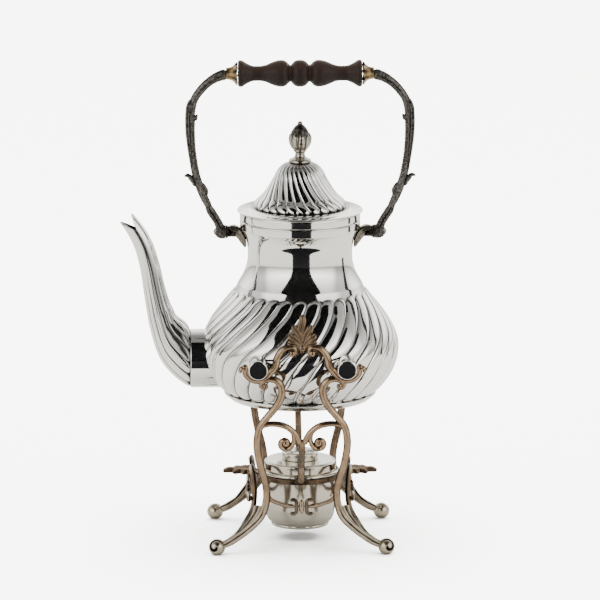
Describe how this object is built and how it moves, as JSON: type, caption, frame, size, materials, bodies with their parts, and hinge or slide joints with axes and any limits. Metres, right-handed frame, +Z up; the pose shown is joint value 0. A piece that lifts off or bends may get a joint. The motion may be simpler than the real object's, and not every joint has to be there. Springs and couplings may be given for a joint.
{
  "type": "spirit kettle on stand",
  "caption": "Tilting swirl-lobed kettle with spout, swing bail and lift-off lid, hung by studs in an openwork scroll stand over a lift-out spirit burner.",
  "frame": {"origin": "on the surface it stands on, in the middle of its whole length and width", "axes": "+Z up, the spout points to -X, the openwork panels of the stand face -Y and +Y"},
  "size_m": [0.2362, 0.192, 0.3894],
  "materials": {
    "polished_silver": "hand-polished silver plate",
    "burner_silver": "silver plate, a little dulled by heat",
    "worn_stand_plate": "cast, worn plate with dark hollows",
    "oxidised_silver": "cast, oxidised dark",
    "gilt_plate": "yellowed plate",
    "ebonised_wood": "turned, stained black, satin polish",
    "steel": "plain",
    "cotton": "braided"
  },
  "bodies": {
    "stand": {"burner_ring": "worn_stand_plate", "panel_front": "worn_stand_plate", "panel_rear": "worn_stand_plate", "crest_front": "worn_stand_plate", "crest_rear": "worn_stand_plate", "leg_front_left": "worn_stand_plate", "leg_front_right": "worn_stand_plate", "leg_rear_left": "worn_stand_plate", "leg_rear_right": "worn_stand_plate", "garland_front": "worn_stand_plate", "garland_rear": "worn_stand_plate", "garland_left": "worn_stand_plate", "garland_right": "worn_stand_plate", "side_crest_left": "worn_stand_plate", "side_crest_right": "worn_stand_plate"},
    "kettle": {"kettle_body": "polished_silver", "kettle_lobes": "polished_silver", "kettle_neck": "polished_silver", "kettle_base": "polished_silver", "mouth_band": "polished_silver", "spout": "polished_silver", "spout_collar": "polished_silver", "stud_front_left": "polished_silver", "stud_front_right": "polished_silver", "stud_rear_left": "polished_silver", "stud_rear_right": "polished_silver", "bail_bracket_left": "polished_silver", "bail_bracket_right": "polished_silver", "bail_pin_left": "polished_silver", "bail_pin_right": "polished_silver"},
    "bail": {"bail_arm_left": "oxidised_silver", "bail_arm_right": "oxidised_silver", "bail_ferrule_left": "gilt_plate", "bail_ferrule_right": "gilt_plate", "bail_grip": "ebonised_wood", "bail_rod": "steel"},
    "lid": {"lid_shell": "polished_silver", "lid_band": "polished_silver", "finial": "polished_silver", "finial_screw": "steel", "finial_nut": "steel"},
    "burner": {"burner_pot": "burner_silver", "burner_top": "burner_silver", "wick_tube": "steel", "wick": "cotton"},
    "snuffer": {"snuffer_cap": "burner_silver"}
  },
  "joints": [
    {"name": "kettle_tilt", "type": "hinge", "parent": "stand", "child": "kettle", "pos_m": [-0.00966, 0, 0.1575], "axis": [0, -1, 0], "range_deg": [0, 45]},
    {"name": "bail_swing", "type": "hinge", "parent": "kettle", "child": "bail", "pos_m": [0.02554, 0, 0.2504], "axis": [1, 0, 0], "range_deg": [-80, 80]},
    {"name": "lid_lift", "type": "slide", "parent": "kettle", "child": "lid", "axis": [0, 0, 1], "range_m": [0, 0.025]},
    {"name": "burner_lift", "type": "slide", "parent": "stand", "child": "burner", "axis": [0, 0, 1], "range_m": [0, 0.024]},
    {"name": "snuffer_lift", "type": "slide", "parent": "burner", "child": "snuffer", "axis": [0, 0, 1], "range_m": [0, 0.012]}
  ]
}
